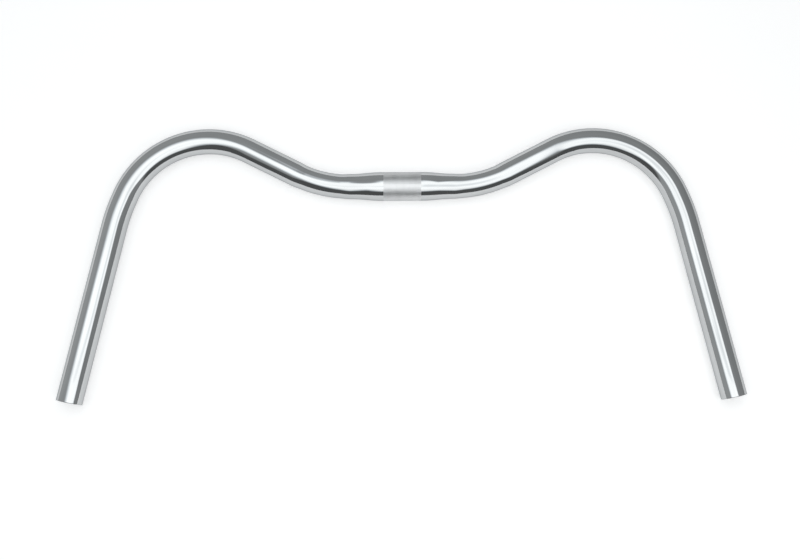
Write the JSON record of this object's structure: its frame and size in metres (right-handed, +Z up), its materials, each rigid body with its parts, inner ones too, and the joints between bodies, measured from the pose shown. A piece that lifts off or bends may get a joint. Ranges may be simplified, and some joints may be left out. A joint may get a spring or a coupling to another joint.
{
  "type": "swept-back handlebar",
  "caption": "Swept-back bicycle handlebar: a bent aluminium tube, swelled at the stem clamp, with forward shoulders and open straight grips.",
  "frame": {"origin": "middle of the stem clamp, on the tube's axis", "axes": "+X along the stem clamp to the rider's right, +Y forward, +Z up out of the plane of the bar, so the grips run back towards -Y"},
  "size_m": [0.5912, 0.2412, 0.0254],
  "materials": {
    "polished_tube": "polished, with a fine matt band round the stem clamp"
  },
  "bodies": {
    "root": {"handlebar": "polished_tube"}
  },
  "joints": []
}
